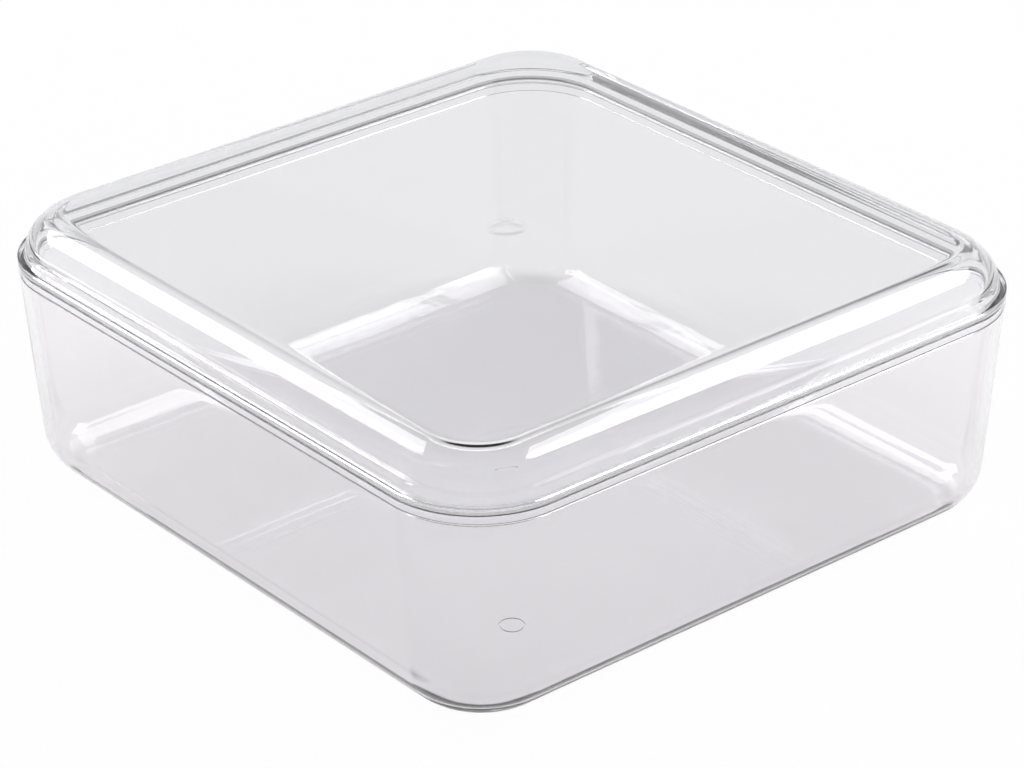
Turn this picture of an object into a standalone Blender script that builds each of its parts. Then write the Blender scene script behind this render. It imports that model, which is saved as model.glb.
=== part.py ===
"""Clear cake container: a deep base with rounded corners and a lift-off lid.

Both pieces are a stepped section swept round a rounded rectangle. The section
is drawn from named sizes, turned through one corner, drawn out along the two
straight sides and mirrored twice. The base's rim stands in a groove under the
lid, between the lid's band and the lip inside it. Metres, +Z up, the container
stands on z = 0.
"""

import math

import bmesh
import bpy

# Plan of the container, over the band round the lid
PLAN_X = 0.2862
PLAN_Y = 0.2758
PLAN_CORNER_RADIUS = 0.0373

# Clearance between the lid and the base where they touch
SEAT_CLEARANCE = 0.0003
CEILING_CLEARANCE = 0.0009

# Base: drafted wall that thickens to the rim, wide bottom rounding, ledge, tongue
BASE_HEIGHT = 0.0849
BASE_WALL = 0.00325
BASE_FLOOR = 0.0046
BASE_DRAFT = 0.076
BASE_BOTTOM_RADIUS = 0.0200
BASE_INNER_RADIUS = 0.0105
RIM_THICKENING = 0.0003
RIM_THICKENING_HEIGHT = 0.00615
RIM_THICKENING_POWER = 2.7
BASE_RIM_SETBACK = 0.0003
LEDGE_EDGE_RADIUS = 0.00035
TONGUE_HEIGHT = 0.0025
TONGUE_EDGE_RADIUS = 0.0005

# Lid: band round the rim, lip inside it, quarter-elliptic shoulder, flat top
LID_RISE = 0.0213
LID_TOP_THICKNESS = 0.0026
BAND_HEIGHT = 0.00575
BAND_THICKNESS = 0.0008
BAND_TOP_RADIUS = 0.00065
BAND_FOOT_RADIUS = 0.0003
LIP_DEPTH = 0.0056
LIP_EDGE_RADIUS = 0.00025
SHOULDER_SETBACK = 0.00225
SHOULDER_WIDTH = 0.01705
SHOULDER_HEIGHT = 0.0176
SHOULDER_INNER_SETBACK = 0.0080
SHOULDER_INNER_WIDTH = 0.01585
SHOULDER_INNER_HEIGHT = 0.0169

# Moulding marks: gate dishes in the lid's top and under the base, one in the floor
LID_GATE_RADIUS = 0.0077
LID_GATE_FLAT_RADIUS = 0.0068
LID_GATE_DEPTH = 0.0005
BASE_GATE_RADIUS = 0.0048
BASE_GATE_FLAT_RADIUS = 0.0042
BASE_GATE_DEPTH = 0.0004
FLOOR_MARK_RADIUS = 0.0049
FLOOR_MARK_FLAT_RADIUS = 0.0043
FLOOR_MARK_DEPTH = 0.0004
FLOOR_MARK_X = 0.0870
FLOOR_MARK_Y = -0.0706

# Facets
CORNER_STEPS = 14
ROUND_STEPS = 9
SHOULDER_STEPS = 12
THICKENING_STEPS = 4
EDGE_STEPS = 3
GATE_STEPS = 32
SMOOTH_BELOW = math.radians(32.0)

# Heights and slopes that follow from the sizes above
LEDGE_Z = BASE_HEIGHT
TONGUE_TOP_Z = LEDGE_Z + TONGUE_HEIGHT
BAND_FOOT_Z = LEDGE_Z + SEAT_CLEARANCE
BAND_TOP_Z = BAND_FOOT_Z + BAND_HEIGHT
LID_TOP_Z = BAND_FOOT_Z + LID_RISE
LID_CEILING_Z = TONGUE_TOP_Z + CEILING_CLEARANCE
LIP_FOOT_Z = LID_CEILING_Z - LIP_DEPTH
DRAFT_ANGLE = math.atan(BASE_DRAFT)


def arc(centre_inset, centre_z, run, rise, start, end, steps):
    """Points of an elliptic arc as (inset, z), angles in degrees."""
    points = []
    for i in range(steps + 1):
        angle = math.radians(start + (end - start) * i / steps)
        inset = centre_inset + run * math.cos(angle)
        points.append((inset, centre_z + rise * math.sin(angle)))
    return points


def drafted(top_inset, top_z, z):
    """Inset of a drafted wall at a height, from its inset at its top."""
    return top_inset + (top_z - z) * BASE_DRAFT


def wall_foot(top_inset, top_z, radius, floor_z):
    """Centre of the round between a drafted wall and a floor."""
    centre_z = floor_z + radius
    wall_inset = drafted(top_inset, top_z, centre_z)
    return wall_inset + radius / math.cos(DRAFT_ANGLE), centre_z


def base_inside(z):
    """Inset of the base's inner wall at or below its ledge, thickened to the rim."""
    share = max(0.0, 1.0 - (LEDGE_Z - z) / RIM_THICKENING_HEIGHT)
    wall = drafted(BASE_RIM_SETBACK + BASE_WALL, LEDGE_Z, z)
    return wall + RIM_THICKENING * share ** RIM_THICKENING_POWER


def base_section():
    """Section of the base, from its floor up the inside and down the outside."""
    wall_start = 180.0 + math.degrees(DRAFT_ANGLE)
    wall_in = BASE_RIM_SETBACK + BASE_WALL
    tongue_out = BAND_THICKNESS + SEAT_CLEARANCE
    tongue_in = base_inside(LEDGE_Z)
    tongue_round_z = TONGUE_TOP_Z - TONGUE_EDGE_RADIUS

    radius = BASE_INNER_RADIUS
    inset, z = wall_foot(wall_in, LEDGE_Z, radius, BASE_FLOOR)
    points = arc(inset, z, radius, radius, 270.0, wall_start, ROUND_STEPS)
    for i in range(THICKENING_STEPS + 1):
        share = i / THICKENING_STEPS
        z = LEDGE_Z - RIM_THICKENING_HEIGHT * (1.0 - share)
        points.append((base_inside(z), z))

    edge = TONGUE_EDGE_RADIUS
    points += arc(tongue_in - edge, tongue_round_z, edge, edge, 0.0, 90.0, EDGE_STEPS)
    points += arc(tongue_out + edge, tongue_round_z, edge, edge, 90.0, 180.0, EDGE_STEPS)
    points.append((tongue_out, LEDGE_Z))

    edge = LEDGE_EDGE_RADIUS
    ledge_out = BASE_RIM_SETBACK + edge
    points += arc(ledge_out, LEDGE_Z - edge, edge, edge, 90.0, 180.0, EDGE_STEPS)

    radius = BASE_BOTTOM_RADIUS
    inset, z = wall_foot(BASE_RIM_SETBACK, LEDGE_Z, radius, 0.0)
    points += arc(inset, z, radius, radius, wall_start, 270.0, ROUND_STEPS)
    return points


def shoulder_angle(centre_z, height, z):
    """Angle at which the outer half of a shoulder ellipse reaches a height."""
    return 180.0 - math.degrees(math.asin((z - centre_z) / height))


def lid_section():
    """Section of the lid, over its shoulder, round band, groove and lip, up the inside."""
    inset = SHOULDER_SETBACK + SHOULDER_WIDTH
    z = LID_TOP_Z - SHOULDER_HEIGHT
    stop = shoulder_angle(z, SHOULDER_HEIGHT, BAND_TOP_Z)
    points = arc(inset, z, SHOULDER_WIDTH, SHOULDER_HEIGHT, 90.0, stop, SHOULDER_STEPS)

    edge = BAND_TOP_RADIUS
    points += arc(edge, BAND_TOP_Z - edge, edge, edge, 90.0, 180.0, EDGE_STEPS)
    edge = BAND_FOOT_RADIUS
    points += arc(edge, BAND_FOOT_Z + edge, edge, edge, 180.0, 270.0, EDGE_STEPS)
    points.append((BAND_THICKNESS, BAND_FOOT_Z))
    points.append((BAND_THICKNESS, LID_CEILING_Z))

    lip_out = max(base_inside(LEDGE_Z), base_inside(min(LEDGE_Z, LIP_FOOT_Z)))
    lip_out += SEAT_CLEARANCE
    lip_in = SHOULDER_INNER_SETBACK
    edge = LIP_EDGE_RADIUS
    lip_z = LIP_FOOT_Z + edge
    points.append((lip_out, LID_CEILING_Z))
    points += arc(lip_out + edge, lip_z, edge, edge, 180.0, 270.0, EDGE_STEPS)
    points += arc(lip_in - edge, lip_z, edge, edge, 270.0, 360.0, EDGE_STEPS)

    inset = SHOULDER_INNER_SETBACK + SHOULDER_INNER_WIDTH
    z = LID_TOP_Z - LID_TOP_THICKNESS - SHOULDER_INNER_HEIGHT
    start = shoulder_angle(z, SHOULDER_INNER_HEIGHT, max(z, lip_z + edge))
    points += arc(inset, z, SHOULDER_INNER_WIDTH, SHOULDER_INNER_HEIGHT,
                  start, 90.0, SHOULDER_STEPS)
    return points


def chain_object(name, points, collection):
    """A mesh object that is one open chain of edges in the XZ plane."""
    mesh = bpy.data.meshes.new(name)
    bm = bmesh.new()
    verts = [bm.verts.new((x, 0.0, z)) for x, z in points]
    for a, b in zip(verts, verts[1:]):
        bm.edges.new((a, b))
    bm.to_mesh(mesh)
    bm.free()
    obj = bpy.data.objects.new(name, mesh)
    collection.objects.link(obj)
    return obj


def apply_modifiers(obj):
    """Replace an object's mesh by its evaluated mesh."""
    bpy.context.view_layer.update()
    depsgraph = bpy.context.evaluated_depsgraph_get()
    mesh = bpy.data.meshes.new_from_object(obj.evaluated_get(depsgraph))
    obj.modifiers.clear()
    obj.data = mesh


def turn(obj, angle, steps):
    """Turn a chain about Z with a Screw modifier."""
    screw = obj.modifiers.new("Turn", "SCREW")
    screw.axis = "Z"
    screw.angle = angle
    screw.screw_offset = 0.0
    screw.steps = steps
    screw.render_steps = steps
    screw.use_smooth_shade = True
    screw.use_merge_vertices = True
    screw.merge_threshold = 0.00001
    apply_modifiers(obj)


def draw_out(bm, axis, start, end):
    """Extrude the edges that lie on one plane to a parallel plane."""
    on_plane = {v for v in bm.verts if abs(v.co[axis] - start) < 1e-7}
    edges = [e for e in bm.edges if e.verts[0] in on_plane and e.verts[1] in on_plane]
    edges = [e for e in edges if e.is_boundary]
    made = bmesh.ops.extrude_edge_only(bm, edges=edges)
    for item in made["geom"]:
        if isinstance(item, bmesh.types.BMVert):
            item.co[axis] = end


def close_panels(bm):
    """Fill the flat panels left open in the middle of the sweep."""
    open_edges = [e for e in bm.edges if e.is_boundary]
    bmesh.ops.holes_fill(bm, edges=open_edges, sides=0)
    bmesh.ops.recalc_face_normals(bm, faces=bm.faces)


def swept_shell(name, section, collection):
    """Sweep a section round the plan and close its two flat panels."""
    corner_x = PLAN_X / 2 - PLAN_CORNER_RADIUS
    corner_y = PLAN_Y / 2 - PLAN_CORNER_RADIUS
    profile = [(PLAN_CORNER_RADIUS - inset, z) for inset, z in section]
    shell = chain_object(name, profile, collection)
    turn(shell, math.pi / 2, CORNER_STEPS)

    bm = bmesh.new()
    bm.from_mesh(shell.data)
    bmesh.ops.translate(bm, verts=bm.verts, vec=(corner_x, corner_y, 0.0))
    draw_out(bm, 1, corner_y, 0.0)
    draw_out(bm, 0, corner_x, 0.0)
    bm.to_mesh(shell.data)
    bm.free()

    mirror = shell.modifiers.new("Four corners", "MIRROR")
    mirror.use_axis = (True, True, False)
    mirror.use_mirror_merge = True
    mirror.merge_threshold = 0.00001
    apply_modifiers(shell)

    bm = bmesh.new()
    bm.from_mesh(shell.data)
    close_panels(bm)
    bm.to_mesh(shell.data)
    bm.free()
    return shell


def dish_cutter(name, rim_radius, flat_radius, depth, place, side, collection):
    """A turned dish cutter that sinks into a flat face from above or below."""
    face_z = place[2]
    slope = arc(flat_radius, face_z, rim_radius - flat_radius, -side * depth, 90.0, 0.0, 6)
    profile = [(0.0, face_z - side * depth)] + slope
    profile.append((rim_radius, face_z + side * depth))
    profile.append((0.0, face_z + side * depth))
    if side > 0:
        profile.reverse()
    cutter = chain_object(name, profile, collection)
    turn(cutter, 2 * math.pi, GATE_STEPS)
    bm = bmesh.new()
    bm.from_mesh(cutter.data)
    bmesh.ops.remove_doubles(bm, verts=bm.verts, dist=0.00001)
    bmesh.ops.recalc_face_normals(bm, faces=bm.faces)
    bm.to_mesh(cutter.data)
    bm.free()
    cutter.location = (place[0], place[1], 0.0)
    cutter.hide_render = True
    cutter.display_type = "WIRE"
    return cutter


def cut(target, cutter):
    """Cut one object out of another."""
    boolean = target.modifiers.new("Moulding mark", "BOOLEAN")
    boolean.operation = "DIFFERENCE"
    boolean.solver = "EXACT"
    boolean.object = cutter
    apply_modifiers(target)


def clear_plastic(name, colour, roughness):
    """A clear moulded plastic."""
    material = bpy.data.materials.new(name)
    material.use_nodes = True
    shader = material.node_tree.nodes["Principled BSDF"]
    shader.inputs["Base Color"].default_value = (*colour, 1.0)
    shader.inputs["Roughness"].default_value = roughness
    shader.inputs["Metallic"].default_value = 0.0
    shader.inputs["IOR"].default_value = 1.5
    shader.inputs["Transmission Weight"].default_value = 1.0
    return material


def finish(obj, material):
    """Give an object its material and shading."""
    obj.data.materials.clear()
    obj.data.materials.append(material)
    obj.data.shade_smooth()
    obj.data.set_sharp_from_angle(angle=SMOOTH_BELOW)


def main():
    for obj in list(bpy.data.objects):
        bpy.data.objects.remove(obj, do_unlink=True)

    container = bpy.data.collections.new("cake_container")
    cutters = bpy.data.collections.new("cutters")
    bpy.context.scene.collection.children.link(container)
    bpy.context.scene.collection.children.link(cutters)
    cutters.hide_render = True

    base = swept_shell("base", base_section(), container)
    base_gate = dish_cutter("base_gate_cutter", BASE_GATE_RADIUS, BASE_GATE_FLAT_RADIUS,
                            BASE_GATE_DEPTH, (0.0, 0.0, 0.0), -1.0, cutters)
    cut(base, base_gate)
    floor_mark = dish_cutter("floor_mark_cutter", FLOOR_MARK_RADIUS, FLOOR_MARK_FLAT_RADIUS,
                             FLOOR_MARK_DEPTH, (FLOOR_MARK_X, FLOOR_MARK_Y, BASE_FLOOR),
                             1.0, cutters)
    cut(base, floor_mark)
    finish(base, clear_plastic("base_clear_plastic", (0.93, 0.94, 0.95), 0.03))

    lid = swept_shell("lid", lid_section(), container)
    lid_gate = dish_cutter("lid_gate_cutter", LID_GATE_RADIUS, LID_GATE_FLAT_RADIUS,
                           LID_GATE_DEPTH, (0.0, 0.0, LID_TOP_Z), 1.0, cutters)
    cut(lid, lid_gate)
    finish(lid, clear_plastic("lid_clear_plastic", (0.95, 0.96, 0.97), 0.03))


main()
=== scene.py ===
# %% [markdown]
# # A clear plastic cake container
#
# The container is two injection mouldings in clear plastic: a deep base with a
# drafted wall, and a lid that lifts straight off. Nothing on it has a colour of
# its own, so what the eye reads is how each wall bends and mirrors the pale room.
# That is why both pieces are modelled as real solids, with an inside, an outside
# and the plastic between them, and why the lamps are placed with care.

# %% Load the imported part, which is the fixed frame
import math

import bmesh
import bpy
from mathutils import Matrix, Vector


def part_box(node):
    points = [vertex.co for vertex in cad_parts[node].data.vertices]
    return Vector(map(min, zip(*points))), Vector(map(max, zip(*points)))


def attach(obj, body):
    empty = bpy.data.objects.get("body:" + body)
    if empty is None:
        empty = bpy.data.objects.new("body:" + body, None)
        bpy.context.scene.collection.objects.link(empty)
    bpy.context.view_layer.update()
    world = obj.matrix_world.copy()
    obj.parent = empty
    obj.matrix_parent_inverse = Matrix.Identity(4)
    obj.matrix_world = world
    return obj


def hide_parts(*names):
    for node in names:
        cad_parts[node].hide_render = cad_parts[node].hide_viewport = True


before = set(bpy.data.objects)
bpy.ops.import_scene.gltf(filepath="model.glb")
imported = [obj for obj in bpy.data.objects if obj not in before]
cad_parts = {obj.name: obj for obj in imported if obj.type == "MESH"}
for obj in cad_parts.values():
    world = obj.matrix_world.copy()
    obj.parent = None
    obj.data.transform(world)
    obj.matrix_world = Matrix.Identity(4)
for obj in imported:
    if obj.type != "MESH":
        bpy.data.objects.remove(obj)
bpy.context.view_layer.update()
print("nodes:", sorted(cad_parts))

# %% [markdown]
# ## Sizes
#
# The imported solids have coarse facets, which a clear wall would show as stripes, so
# each is replaced by a finer piece. The outer sizes are read off the frame, which
# keeps both pieces inside the boxes of the solids. The rest are those of the
# solids' own section, in metres, but for two things: the inside of the lid's
# shoulder leaves a thinner wall, and the moulding marks are gentler.

# %% Sizes of the container, in metres
LID_LOW, LID_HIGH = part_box("lid")
BASE_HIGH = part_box("base")[1]
HALF_X = LID_HIGH.x
HALF_Y = LID_HIGH.y
CORNER_RADIUS = 0.0373
TONGUE_Z = BASE_HIGH.z
TONGUE_HEIGHT = 0.0025
LEDGE_Z = TONGUE_Z - TONGUE_HEIGHT
LIP_FOOT_Z = LID_LOW.z
TOP_Z = LID_HIGH.z
RIM_SETBACK = HALF_X - BASE_HIGH.x
CLEARANCE = 0.0003
DRAFT = 0.076
CORNER_STEPS = 48
FIRST_STEP = 0.0004
print("plan half sizes", round(HALF_X, 4), round(HALF_Y, 4), "ledge", round(LEDGE_Z, 4))

# %% [markdown]
# ## Drawing a section
#
# Both mouldings have one section all the way round. A section is a list of
# points: how far in from the outermost line of the plan, and how high. Rounds are
# arcs of an ellipse. A long straight stretch gets one extra point close to each
# end: without it, smooth shading would spread the bend of the neighbouring round
# over the whole flat wall, and a clear wall would show that as a dark wedge. At
# its ends each section runs level for one short first step, for the same reason.

# %% Helpers for a section
def arc(inset, z, run, rise, start, end, steps):
    """Points on an elliptic arc, angles in degrees."""
    angles = [math.radians(start + (end - start) * i / steps) for i in range(steps + 1)]
    return [(inset + run * math.cos(a), z + rise * math.sin(a)) for a in angles]


def supported(points, near=0.00015, long=0.002):
    """The same points, with one more close to each end of a long straight stretch."""
    result = [points[0]]
    for (x0, z0), (x1, z1) in zip(points, points[1:]):
        length = math.hypot(x1 - x0, z1 - z0)
        if length > long:
            share = near / length
            result.append((x0 + (x1 - x0) * share, z0 + (z1 - z0) * share))
            result.append((x1 - (x1 - x0) * share, z1 - (z1 - z0) * share))
        result.append((x1, z1))
    return result


# %% [markdown]
# ## Turning a section into a shell
#
# A rounded rectangle is four quarter turns joined by straights. So the section is
# drawn once by extruding a single point, spun through one quarter turn, drawn out
# along both straights to the middle of the sides, and mirrored twice. The open
# middle is then closed by flat panels. A solid could also be built from cubes and
# rounded with Bevel, but then a stepped rim would need a bevel for every edge. Each
# straight gets the short first step beside the corner as well.

# %% Helpers for edit mode
MIRROR_MERGE = 0.00001
DOUBLES = 0.000005
ON_PLANE = 0.000001


def deselect():
    bpy.ops.object.select_all(action="DESELECT")


def edit(obj):
    deselect()
    obj.select_set(True)
    bpy.context.view_layer.objects.active = obj
    bpy.ops.object.mode_set(mode="EDIT")
    bpy.ops.mesh.select_mode(type="VERT")


def pick(test):
    """Select, in edit mode, the points whose place passes a test."""
    bpy.ops.mesh.select_all(action="DESELECT")
    mesh = bmesh.from_edit_mesh(bpy.context.object.data)
    for vert in mesh.verts:
        vert.select_set(test(vert.co))
    mesh.select_flush(True)
    bmesh.update_edit_mesh(bpy.context.object.data)


def extrude(x, y, z):
    bpy.ops.mesh.extrude_region_move(TRANSFORM_OT_translate={"value": (x, y, z)})


# %% Helpers for a shell
def draw_section(name, points, y):
    """A chain of points extruded one from another, standing across the +X side."""
    deselect()
    bpy.ops.mesh.primitive_plane_add(size=0.001, location=(0, 0, 0))
    piece = bpy.context.object
    piece.name = piece.data.name = name
    edit(piece)
    bpy.ops.mesh.select_all(action="SELECT")
    bpy.ops.mesh.merge(type="CENTER")
    inset, z = points[0]
    bpy.ops.transform.translate(value=(HALF_X - inset, y, z))
    for (x0, z0), (x1, z1) in zip(points, points[1:]):
        extrude(x0 - x1, 0, z1 - z0)
    return piece


def shell(name, points):
    """A section carried round the plan, mirrored and closed with flat panels."""
    centre_x = HALF_X - CORNER_RADIUS
    centre_y = HALF_Y - CORNER_RADIUS
    piece = draw_section(name, supported(points), centre_y)
    bpy.ops.mesh.select_all(action="SELECT")
    bpy.ops.mesh.spin(steps=CORNER_STEPS, angle=math.radians(-90),
                      center=(centre_x, centre_y, 0), axis=(0, 0, 1))
    mesh = bmesh.from_edit_mesh(piece.data)
    if max(v.co.y for v in mesh.verts) < centre_y + CORNER_RADIUS / 2:
        raise RuntimeError("the section was spun the wrong way")
    pick(lambda co: abs(co.x - centre_x) < ON_PLANE)
    extrude(-FIRST_STEP, 0, 0)
    extrude(FIRST_STEP - centre_x, 0, 0)
    pick(lambda co: abs(co.y - centre_y) < ON_PLANE)
    extrude(0, -FIRST_STEP, 0)
    extrude(0, FIRST_STEP - centre_y, 0)
    bpy.ops.object.mode_set(mode="OBJECT")
    for axis in (0, 1):
        bpy.ops.object.modifier_add(type="MIRROR")
        mirror = piece.modifiers[-1]
        mirror.use_axis = (axis == 0, axis == 1, False)
        mirror.merge_threshold = MIRROR_MERGE
        bpy.ops.object.modifier_apply(modifier=mirror.name)
    edit(piece)
    bpy.ops.mesh.select_all(action="SELECT")
    bpy.ops.mesh.remove_doubles(threshold=DOUBLES)
    bpy.ops.mesh.select_all(action="SELECT")
    bpy.ops.mesh.fill_holes(sides=0)
    bpy.ops.mesh.select_all(action="SELECT")
    bpy.ops.mesh.normals_make_consistent(inside=False)
    bpy.ops.object.mode_set(mode="OBJECT")
    print(name, "has", len(piece.data.polygons), "faces")
    return piece


# %% [markdown]
# ## The base
#
# The base is one deep tray. Its wall leans in by 4.4 degrees so that it slides off
# the mould, and it thickens a little towards the rim. The round under the foot is
# wide and the one inside is tighter, so the corner of the floor is the thickest
# place, and it is where the bright and dark bands gather. The rim has a narrow
# ledge for the lid's band and a short tongue that stands in the lid's groove. It
# could be a bevelled cube with a Solidify wall, but that wall would be equally
# thick everywhere, so the section is drawn point by point.

# %% Section of the base
BASE_WALL = 0.00325
BASE_FLOOR = 0.0046
FOOT_RADIUS, FOOT_STEPS = 0.0200, 32
FLOOR_RADIUS, FLOOR_STEPS = 0.0105, 28
RIM_THICKENING = 0.0003
RIM_THICKENING_HEIGHT = 0.00615
RIM_THICKENING_POWER = 2.7
RIM_STEPS = 12
BAND_THICKNESS = 0.0008
TONGUE_ROUND = 0.0005
LEDGE_ROUND = 0.00035
lean = math.degrees(math.atan(DRAFT))


def wall_line(top_inset, z):
    return top_inset + (LEDGE_Z - z) * DRAFT


def base_inside(z):
    """Inset of the inner wall up to the ledge, with its thickening."""
    share = max(0.0, 1 - (LEDGE_Z - z) / RIM_THICKENING_HEIGHT)
    return wall_line(inner_top, z) + RIM_THICKENING * share ** RIM_THICKENING_POWER


inner_top = RIM_SETBACK + BASE_WALL
foot_z = BASE_FLOOR + FLOOR_RADIUS
foot_inset = wall_line(inner_top, foot_z) + FLOOR_RADIUS / math.cos(math.radians(lean))
base_points = [(foot_inset + FIRST_STEP, BASE_FLOOR)]
base_points += arc(foot_inset, foot_z, FLOOR_RADIUS, FLOOR_RADIUS,
                   270, 180 + lean, FLOOR_STEPS)
for i in range(RIM_STEPS + 1):
    z = LEDGE_Z - RIM_THICKENING_HEIGHT * (1 - i / RIM_STEPS)
    base_points.append((base_inside(z), z))
tongue_in = base_inside(LEDGE_Z) - TONGUE_ROUND
tongue_out = BAND_THICKNESS + CLEARANCE + TONGUE_ROUND
round_z = TONGUE_Z - TONGUE_ROUND
base_points += arc(tongue_in, round_z, TONGUE_ROUND, TONGUE_ROUND, 0, 90, 6)
base_points += arc(tongue_out, round_z, TONGUE_ROUND, TONGUE_ROUND, 90, 180, 6)
base_points.append((BAND_THICKNESS + CLEARANCE, LEDGE_Z))
base_points += arc(RIM_SETBACK + LEDGE_ROUND, LEDGE_Z - LEDGE_ROUND,
                   LEDGE_ROUND, LEDGE_ROUND, 90, 180, 5)
under_inset = wall_line(RIM_SETBACK, FOOT_RADIUS)
under_inset += FOOT_RADIUS / math.cos(math.radians(lean))
base_points += arc(under_inset, FOOT_RADIUS, FOOT_RADIUS, FOOT_RADIUS,
                   180 + lean, 270, FOOT_STEPS)
base_points.append((under_inset + FIRST_STEP, 0.0))
print("base section:", len(base_points), "points")

# %% Carry the section round
clear_base = shell("clear_base", base_points)

# %% [markdown]
# ## The lid
#
# Seen in section, the lid is a thin band that hangs outside the tongue, a lip that
# reaches down inside it, and above them a shoulder that is a quarter of an ellipse
# and runs out level into the flat top. The inside of the shoulder is a smaller
# quarter ellipse that stays close to the outer one. A lamp is mirrored in both
# surfaces, and the two stripes lie so close together that they look like one, so
# the wall between them has to be thin. It is about 3 mm at its foot, 1 mm at the
# bend and 2 mm in the top. The lid could be cut from a rounded block, but the
# drawn section gives the band, the groove and the lip in the same pass.

# %% Section of the lid
BAND_FOOT_Z = LEDGE_Z + CLEARANCE
BAND_HEIGHT = 0.00575
BAND_TOP_Z = BAND_FOOT_Z + BAND_HEIGHT
BAND_TOP_ROUND = 0.00065
BAND_FOOT_ROUND = 0.0003
LIP_IN = 0.0054
LIP_ROUND = 0.00025
TOP_THICKNESS = 0.0021
ROOM_OVER_TONGUE = 0.0009
CEILING_Z = TONGUE_Z + ROOM_OVER_TONGUE
SHOULDER_STEPS = 40
SETBACK, WIDTH, HEIGHT = 0.00225, 0.01705, 0.0176
INNER_WIDTH, INNER_HEIGHT = 0.0115, 0.0104
SHOULDER = (SETBACK + WIDTH, TOP_Z - HEIGHT, WIDTH, HEIGHT)
SHOULDER_INSIDE = (LIP_IN + INNER_WIDTH, TOP_Z - TOP_THICKNESS - INNER_HEIGHT,
                   INNER_WIDTH, INNER_HEIGHT)


def ellipse_angle(ellipse, z):
    """Where on its outer half an ellipse reaches a height, in degrees."""
    return 180 - math.degrees(math.asin((z - ellipse[1]) / ellipse[3]))


lid_points = [(SHOULDER[0] + FIRST_STEP, TOP_Z)]
lid_points += arc(*SHOULDER, 90, ellipse_angle(SHOULDER, BAND_TOP_Z), SHOULDER_STEPS)
lid_points += arc(BAND_TOP_ROUND, BAND_TOP_Z - BAND_TOP_ROUND,
                  BAND_TOP_ROUND, BAND_TOP_ROUND, 90, 180, 6)
lid_points += arc(BAND_FOOT_ROUND, BAND_FOOT_Z + BAND_FOOT_ROUND,
                  BAND_FOOT_ROUND, BAND_FOOT_ROUND, 180, 270, 4)
lid_points.append((BAND_THICKNESS, BAND_FOOT_Z))
lid_points.append((BAND_THICKNESS, CEILING_Z))
lip_out = max(base_inside(LEDGE_Z), base_inside(LIP_FOOT_Z)) + CLEARANCE
lid_points.append((lip_out, CEILING_Z))
lid_points += arc(lip_out + LIP_ROUND, LIP_FOOT_Z + LIP_ROUND,
                  LIP_ROUND, LIP_ROUND, 180, 270, 4)
lid_points += arc(LIP_IN - LIP_ROUND, LIP_FOOT_Z + LIP_ROUND,
                  LIP_ROUND, LIP_ROUND, 270, 360, 4)
lid_points += arc(*SHOULDER_INSIDE, 180, 90, SHOULDER_STEPS)
lid_points.append((SHOULDER_INSIDE[0] + FIRST_STEP, TOP_Z - TOP_THICKNESS))
print("lid section:", len(lid_points), "points")

# %% Carry the section round
clear_lid = shell("clear_lid", lid_points)

# %% [markdown]
# ## The moulding marks
#
# Plastic enters a mould through a gate, and the gate leaves a shallow round dish:
# one in the middle of the lid and one under the middle of the base. A dish could be
# a bump in the material, but clear plastic shows the true bend of the surface, so it
# is cut with a Boolean. The cutter starts as a cylinder, its foot is drawn in and
# rounded over, and its head is raised above the surface so that no two faces lie on
# each other. The lid's dish has gentle slopes: past about 8 degrees they would turn
# black, as light could no longer leave the plastic. The floor has a fine ring near
# the front corner, as a round pin of the mould leaves it, and a torus cuts that.

# %% Helpers for a mark
MARK_FACETS = 96


def cut(target, cutter):
    """Take one piece out of another and throw the cutter away."""
    deselect()
    target.select_set(True)
    bpy.context.view_layer.objects.active = target
    bpy.ops.object.modifier_add(type="BOOLEAN")
    boolean = target.modifiers[-1]
    boolean.operation = "DIFFERENCE"
    boolean.solver = "EXACT"
    boolean.object = cutter
    bpy.ops.object.modifier_apply(modifier=boolean.name)
    bpy.data.objects.remove(cutter)


def dish(target, centre, side, rim, flat, depth, soften):
    """Sink a round dish into a level face; side is 1 for a face seen from above."""
    x, y, z = centre
    deselect()
    bpy.ops.mesh.primitive_cylinder_add(vertices=MARK_FACETS, radius=rim, depth=depth,
                                        location=(x, y, z - side * depth / 2))
    cutter = bpy.context.object
    bpy.ops.object.transform_apply(location=True, rotation=True, scale=True)
    edit(cutter)
    pick(lambda co: (co.z - z) * side < -depth / 2)
    bpy.ops.transform.resize(value=(flat / rim, flat / rim, 1), center_override=(x, y, z))
    bpy.ops.mesh.bevel(offset=soften, offset_type="OFFSET", segments=8, affect="EDGES")
    pick(lambda co: abs(co.z - z) < ON_PLANE)
    extrude(0, 0, side * depth)
    bpy.ops.mesh.select_all(action="SELECT")
    bpy.ops.mesh.normals_make_consistent(inside=False)
    bpy.ops.object.mode_set(mode="OBJECT")
    cut(target, cutter)


def ring_groove(target, centre, radius, bead, depth):
    """Cut a fine round-bottomed ring into a level face seen from above."""
    x, y, z = centre
    deselect()
    bpy.ops.mesh.primitive_torus_add(major_radius=radius, minor_radius=bead,
                                     major_segments=MARK_FACETS, minor_segments=24,
                                     location=(x, y, z + bead - depth))
    cutter = bpy.context.object
    bpy.ops.object.transform_apply(location=True, rotation=True, scale=True)
    cut(target, cutter)


# %% Cut the marks
# Each dish: centre, side, radius at the rim, radius of the flat, depth, softening.
LID_GATE = ((0, 0, TOP_Z), 1, 0.0077, 0.0044, 0.00045, 0.0004)
BASE_GATE = ((0, 0, 0), -1, 0.0048, 0.0042, 0.0004, 0.0002)
# The ring: centre, radius, half the groove's width, depth.
FLOOR_RING = ((0.0870, -0.0706, BASE_FLOOR), 0.0047, 0.0006, 0.00015)
dish(clear_lid, *LID_GATE)
dish(clear_base, *BASE_GATE)
ring_groove(clear_base, *FLOOR_RING)
print("faces with marks:", len(clear_base.data.polygons), len(clear_lid.data.polygons))

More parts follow.
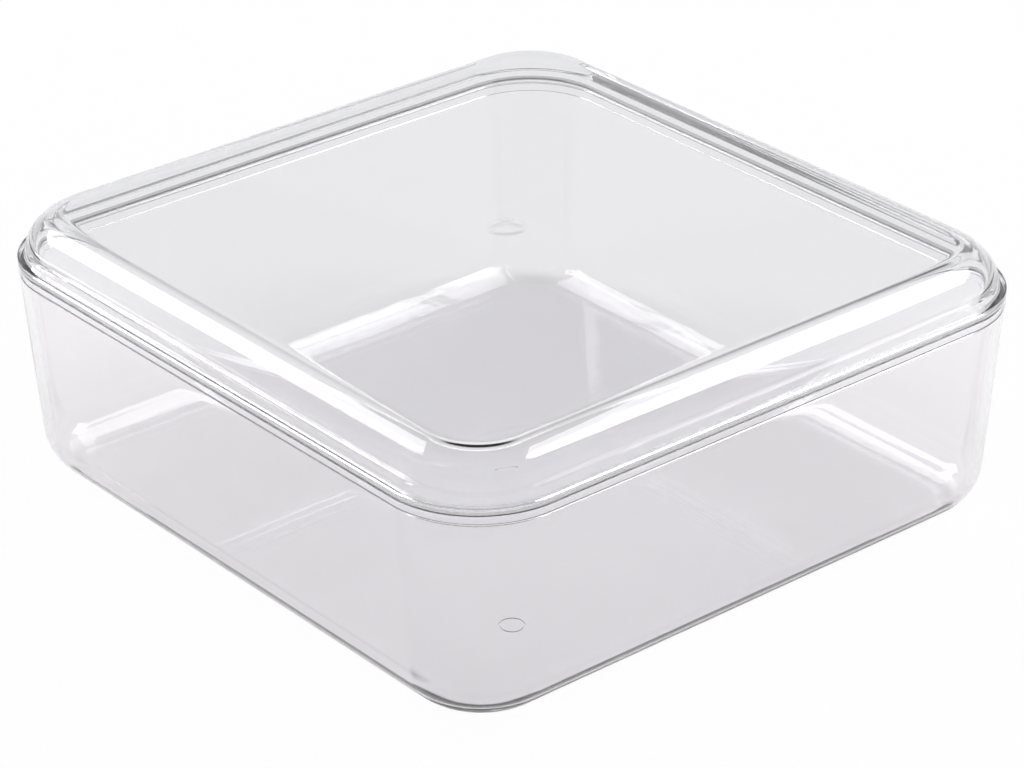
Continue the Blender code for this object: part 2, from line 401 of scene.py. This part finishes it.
# %% [markdown]
# ## Smooth shading with true edges
#
# Rounds are shaded smooth and edges over 35 degrees stay sharp. The rim of each
# dish is marked sharp as well: it is shallower than that, but a smooth rim would
# tip the shading of the whole flat panel around it.

# %% Shade the two pieces
EDGE_ANGLE = math.radians(35)


def sharpen_ring(piece, centre, radius):
    """Mark the circle of edges at a dish's rim as sharp."""
    edit(piece)
    middle = Vector(centre)
    pick(lambda co: abs(co.z - middle.z) < 2 * ON_PLANE
         and abs((co - middle).length - radius) < 20 * ON_PLANE)
    bpy.ops.mesh.mark_sharp()
    bpy.ops.object.mode_set(mode="OBJECT")


for piece in (clear_base, clear_lid):
    deselect()
    piece.select_set(True)
    bpy.context.view_layer.objects.active = piece
    bpy.ops.object.shade_smooth_by_angle(angle=EDGE_ANGLE)
sharpen_ring(clear_lid, LID_GATE[0], LID_GATE[2])
sharpen_ring(clear_base, BASE_GATE[0], BASE_GATE[2])

# %% [markdown]
# ## A small class for shader sums
#
# A material is easier to read as a sum than as a web of nodes. The class wraps a
# socket, so that an expression such as facing ** 3 adds its own Math node, and one
# function adds any other node with its settings and the values of its sockets.

# %% Shader helpers
class Value:
    """A socket that carries a number and can be used in sums."""

    def __init__(self, tree, socket):
        self.tree = tree
        self.socket = socket

    def math(self, operation, first, second):
        node = add_node(self.tree, "ShaderNodeMath", {"operation": operation},
                        {0: first, 1: second})
        return Value(self.tree, node.outputs[0])

    def __add__(self, other):
        return self.math("ADD", self, other)

    def __mul__(self, other):
        return self.math("MULTIPLY", self, other)

    def __pow__(self, other):
        return self.math("POWER", self, other)

    __radd__ = __add__
    __rmul__ = __mul__


def add_node(tree, kind, settings=None, inputs=None):
    """Any node: its settings first, then the values or links of its sockets."""
    node = tree.nodes.new(kind)
    for name, value in (settings or {}).items():
        setattr(node, name, value)
    for key, value in (inputs or {}).items():
        socket = node.inputs[key]
        if isinstance(value, Value):
            tree.links.new(value.socket, socket)
        elif isinstance(value, bpy.types.NodeSocket):
            tree.links.new(value, socket)
        else:
            socket.default_value = value
    return node


def new_finish(name):
    """An empty material and its node tree."""
    material = bpy.data.materials.new(name)
    material.use_nodes = True
    material.node_tree.nodes.clear()
    return material, material.node_tree


# %% [markdown]
# ## Clear plastic
#
# The plastic is polished and bends light much as glass does. Two faint things keep
# it from looking like a drawing: a long slow ripple from the cooling of the
# moulding, and a trace of haze that comes and goes in patches. Each piece has a
# trace of colour, which shows only where light crosses many walls. A plain glass
# shader would let no lamp light through, because a shadow ray doesn't bend, so
# shadow rays get a see-through shader that darkens where the wall is met edge on.

# %% The clear finish
RIPPLE_SCALE, RIPPLE = 16.0, 0.05
PATCH_SCALE, HAZE = 38.0, 0.01
REFRACTION = 1.5
SHADE_OF_WALL = (0.755, 0.755, 0.76, 1.0)
SHADE_OF_EDGE = (0.6, 0.6, 0.61, 1.0)


def noise(tree, place, scale, detail, roughness):
    node = add_node(tree, "ShaderNodeTexNoise", {"noise_dimensions": "3D"},
                    {"Vector": place, "Scale": scale, "Detail": detail,
                     "Roughness": roughness})
    return Value(tree, node.outputs[0])


def clear_plastic(name, tone):
    """Clear plastic with a faint tone, which pales by half in patches."""
    material, tree = new_finish(name)
    place = add_node(tree, "ShaderNodeTexCoord").outputs["Object"]
    slow = noise(tree, place, RIPPLE_SCALE, 1.0, 0.4)
    patches = noise(tree, place, PATCH_SCALE, 3.0, 0.55)
    paler = tuple(0.5 + 0.5 * part for part in tone)
    tint = add_node(tree, "ShaderNodeMix", {"data_type": "RGBA"},
                    {0: patches, 6: tone, 7: paler})
    bump = add_node(tree, "ShaderNodeBump", {},
                    {"Strength": 1.0, "Distance": 0.001, "Height": slow * RIPPLE})
    body = add_node(tree, "ShaderNodeBsdfPrincipled", {},
                    {"Base Color": tint.outputs[2], "Roughness": patches * HAZE,
                     "Normal": bump.outputs[0], "IOR": REFRACTION,
                     "Transmission Weight": 1.0})
    facing = add_node(tree, "ShaderNodeLayerWeight", {}, {"Blend": 0.5})
    facing = Value(tree, facing.outputs["Facing"])
    wall = add_node(tree, "ShaderNodeBsdfTransparent", {}, {"Color": SHADE_OF_WALL})
    edge = add_node(tree, "ShaderNodeBsdfTransparent", {}, {"Color": SHADE_OF_EDGE})
    shade = add_node(tree, "ShaderNodeMixShader", {},
                     {0: facing ** 3.0, 1: wall.outputs[0], 2: edge.outputs[0]})
    ray = add_node(tree, "ShaderNodeLightPath")
    surface = add_node(tree, "ShaderNodeMixShader", {},
                       {0: ray.outputs["Is Shadow Ray"], 1: body.outputs[0],
                        2: shade.outputs[0]})
    add_node(tree, "ShaderNodeOutputMaterial", {}, {"Surface": surface.outputs[0]})
    print("finish:", name, "with", len(tree.nodes), "nodes")
    return material


base_finish = clear_plastic("clear base plastic", tone=(1.0, 0.982, 1.0, 1.0))
lid_finish = clear_plastic("clear lid plastic", tone=(0.982, 0.985, 1.0, 1.0))

# %% Give each piece its finish and its body
for piece, finish, node in ((clear_base, base_finish, "base"),
                            (clear_lid, lid_finish, "lid")):
    piece.data.materials.clear()
    piece.data.materials.append(finish)
    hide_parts(node)
    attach(piece, node)

# %% [markdown]
# ## The floor
#
# The container stands on a wide pale sheet. Lighting the sheet until it is white
# would also flood the container, so part of what a ray sees there is a white glow.
# The camera's own rays see nearly all of the glow, and a faint shade beside the
# container. Rays that arrive through the plastic or by a reflection see mostly the
# lit paper, which is why the inside looks greyer than the ground around it.

# %% Floor and its finish
UNDER_GAP = 0.0003
CAMERA_GLOW, MIRROR_GLOW, THROUGH_GLOW = 0.95, 0.1, 0.02
deselect()
bpy.ops.mesh.primitive_plane_add(size=24, location=(0, 0, 0))
floor = bpy.context.object
floor.name = "floor"
edit(floor)
bpy.ops.transform.translate(value=(0, 0, -UNDER_GAP))
bpy.ops.object.mode_set(mode="OBJECT")
floor_finish, tree = new_finish("pale floor")
ray = add_node(tree, "ShaderNodeLightPath")
seen = Value(tree, ray.outputs["Is Camera Ray"])
mirrored = Value(tree, ray.outputs["Is Glossy Ray"])
through = Value(tree, ray.outputs["Is Transmission Ray"])
paper = add_node(tree, "ShaderNodeBsdfPrincipled", {},
                 {"Base Color": (0.94, 0.94, 0.945, 1.0), "Roughness": 0.9})
glow = add_node(tree, "ShaderNodeEmission", {},
                {"Color": (1.0, 1.0, 1.0, 1.0), "Strength": 1.0})
share = seen * CAMERA_GLOW + mirrored * MIRROR_GLOW + through * THROUGH_GLOW
surface = add_node(tree, "ShaderNodeMixShader", {},
                   {0: share, 1: paper.outputs[0], 2: glow.outputs[0]})
add_node(tree, "ShaderNodeOutputMaterial", {}, {"Surface": surface.outputs[0]})
floor.data.materials.append(floor_finish)

# %% [markdown]
# ## The camera
#
# The camera looks down on one corner from about 28 degrees with a long lens, so
# the sides hardly converge. It could be pointed with a Track To constraint, but
# then it couldn't be tilted by its last half degree, so it is placed from its aim
# point, distance and angles.

# %% Camera
AIM = Vector((0.00635, -0.00326, 0.045))
DISTANCE = 1.43925
AZIMUTH = math.radians(50.2388)
ELEVATION = math.radians(27.6330)
ROLL = math.radians(-0.4981)
LENS = 135.70

back = Vector((math.sin(AZIMUTH) * math.cos(ELEVATION),
               -math.cos(AZIMUTH) * math.cos(ELEVATION), math.sin(ELEVATION)))
level = (-back).cross(Vector((0, 0, 1))).normalized()
upright = level.cross(-back)
side = level * math.cos(ROLL) + upright * math.sin(ROLL)
up = upright * math.cos(ROLL) - level * math.sin(ROLL)
deselect()
bpy.ops.object.camera_add()
camera = bpy.context.object
turned = Matrix((side, up, back)).transposed().to_4x4()
turned.translation = AIM + back * DISTANCE
camera.matrix_world = turned
camera.data.sensor_width = 36.0
camera.data.lens = LENS
camera.data.clip_start = 0.05
camera.data.clip_end = 60.0
bpy.context.scene.camera = camera
print("camera at", [round(v, 3) for v in turned.translation])

# %% [markdown]
# ## The light
#
# Two soft boxes stand behind the container, one to each side. Each is mirrored in
# the lid's shoulder as one clean white stripe, and where the stripe lies on the
# shoulder says where the box must stand. Point lamps would leave only hard dots.
# The room around them is pale at the horizon and greyer above, so that clear
# plastic has something darker to be seen against. Light that is caught in the thick
# rim is given up after two dozen bounces, which draws the rim's lines dark.

# %% Soft boxes
def soft_box(name, azimuth, elevation, distance, width, height, radiance):
    """A rectangular lamp aimed at the container; azimuth is from straight behind it."""
    behind = math.atan2(-back.y, -back.x)
    heading = behind - math.radians(azimuth)
    level = math.radians(elevation)
    away = Vector((math.cos(heading) * math.cos(level),
                   math.sin(heading) * math.cos(level), math.sin(level)))
    deselect()
    bpy.ops.object.light_add(type="AREA", location=AIM + away * distance)
    lamp = bpy.context.object
    lamp.name = name
    lamp.rotation_euler = (-away).to_track_quat("-Z", "Y").to_euler()
    lamp.data.shape = "RECTANGLE"
    lamp.data.size = width
    lamp.data.size_y = height
    lamp.data.energy = radiance * math.pi * width * height
    print(name, "gives", round(lamp.data.energy, 1), "watts")


soft_box("left soft box", azimuth=-57.5, elevation=41, distance=2.0,
         width=0.76, height=0.95, radiance=5.4)
soft_box("right soft box", azimuth=70.5, elevation=48, distance=2.0,
         width=1.1, height=0.76, radiance=5.4)

# %% The room and the limits of the light's paths
world = bpy.data.worlds.new("studio room")
bpy.context.scene.world = world
world.use_nodes = True
tree = world.node_tree
direction = add_node(tree, "ShaderNodeTexCoord").outputs["Generated"]
climb = add_node(tree, "ShaderNodeSeparateXYZ", {}, {0: direction}).outputs["Z"]
grey = add_node(tree, "ShaderNodeValToRGB", {}, {0: climb})
ramp = grey.color_ramp.elements
ramp.remove(ramp[1])
HORIZON, ABOVE = 0.84, ((0.3, 0.53), (0.8, 0.49))
ramp[0].position = 0.0
ramp[0].color = (HORIZON, HORIZON, HORIZON, 1.0)
for place, pale in ABOVE:
    ramp.new(place).color = (pale, pale, pale, 1.0)
tree.links.new(grey.outputs[0], tree.nodes["Background"].inputs["Color"])

bpy.context.scene.view_settings.view_transform = "Standard"
paths = bpy.context.scene.cycles
paths.max_bounces = paths.transmission_bounces = 24
paths.glossy_bounces = 16
paths.transparent_max_bounces = 24
print("room: horizon", HORIZON, "above", ABOVE, "- bounces", paths.max_bounces)
